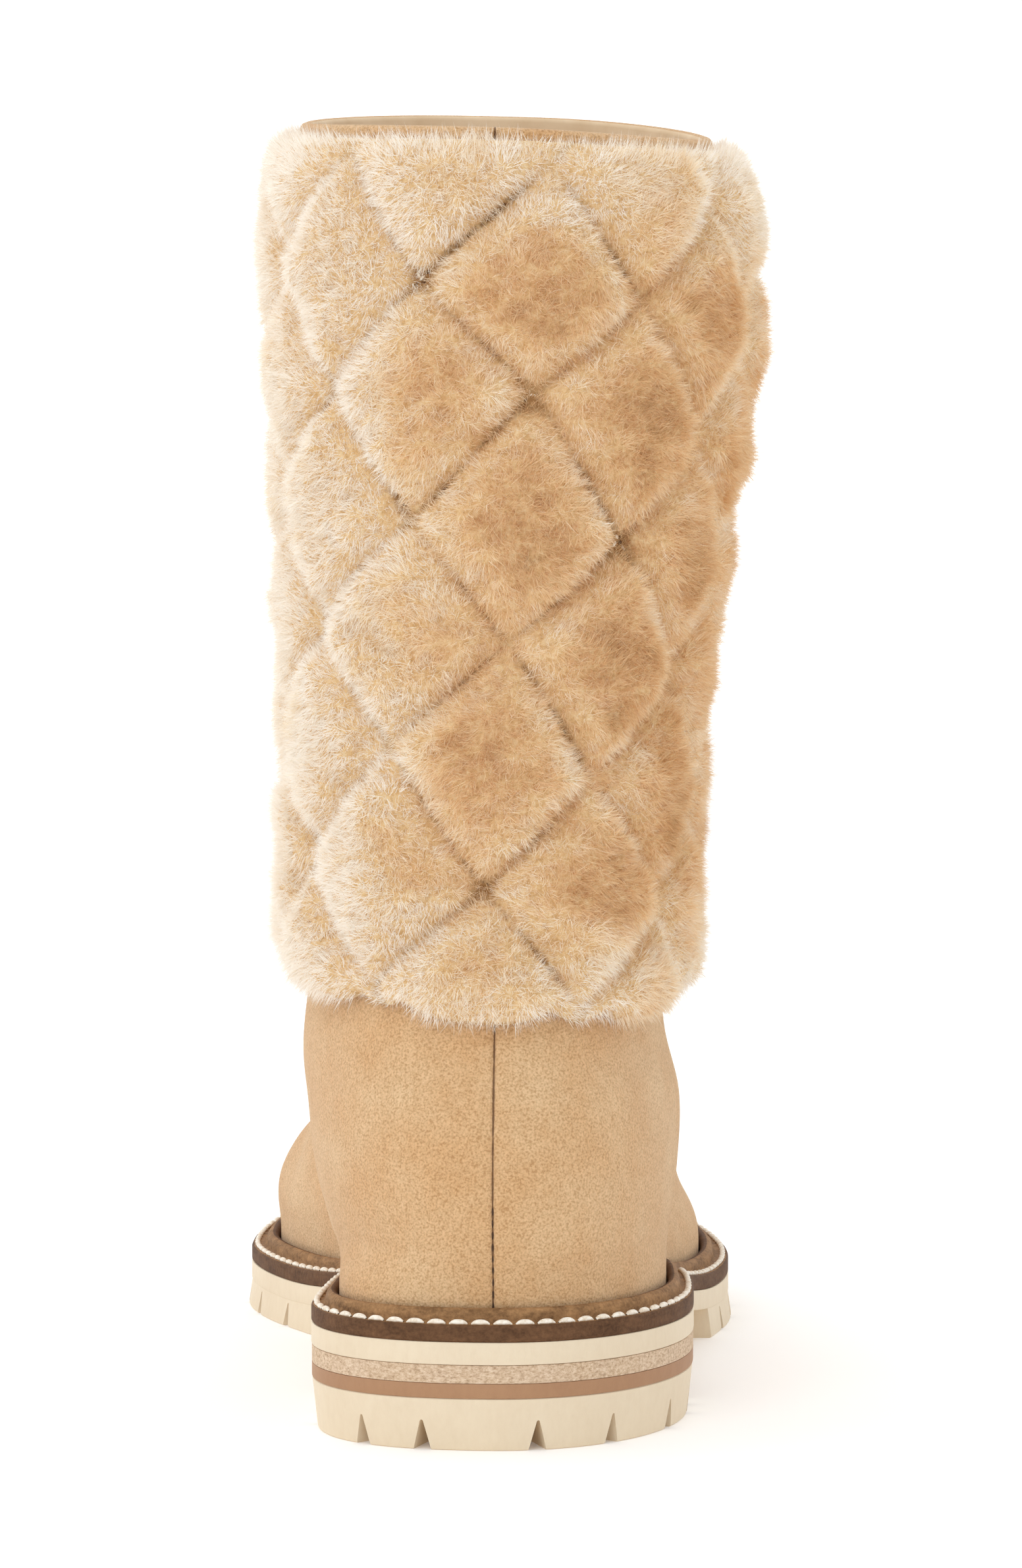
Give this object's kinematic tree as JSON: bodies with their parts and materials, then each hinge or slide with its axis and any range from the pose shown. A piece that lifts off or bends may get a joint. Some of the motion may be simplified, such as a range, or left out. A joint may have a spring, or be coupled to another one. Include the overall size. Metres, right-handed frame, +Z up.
{
  "type": "boot",
  "caption": "Mid-calf winter boot: hollow suede upper with a quilted sheepskin cuff round the shaft, stitched welt and a rubber lug sole with a stacked heel.",
  "frame": {"origin": "on the floor under the middle of the heel, 30 mm ahead of the sole's back edge", "axes": "+Z up, -Y towards the toe, +X towards the medial side, where the big toe is"},
  "size_m": [0.1154, 0.2786, 0.256],
  "materials": {
    "cream_rubber": "matt cream rubber",
    "brown_rubber": "matt brown rubber",
    "leatherboard": "speckled pressed leatherboard, sanded edge",
    "welt_leather": "waxed brown leather, lighter on top",
    "insole_lining": "plain sock leather",
    "suede": "sand suede with a short soft nap",
    "sheepskin": "deep honey sheepskin pile, quilted in diamonds"
  },
  "bodies": {
    "root": {"outsole": "cream_rubber", "heel_block": "cream_rubber", "heel_lift_brown": "brown_rubber", "heel_lift_leatherboard": "leatherboard", "welt": "welt_leather", "insole": "insole_lining", "upper": "suede", "sheepskin_cuff": "sheepskin"}
  },
  "joints": []
}
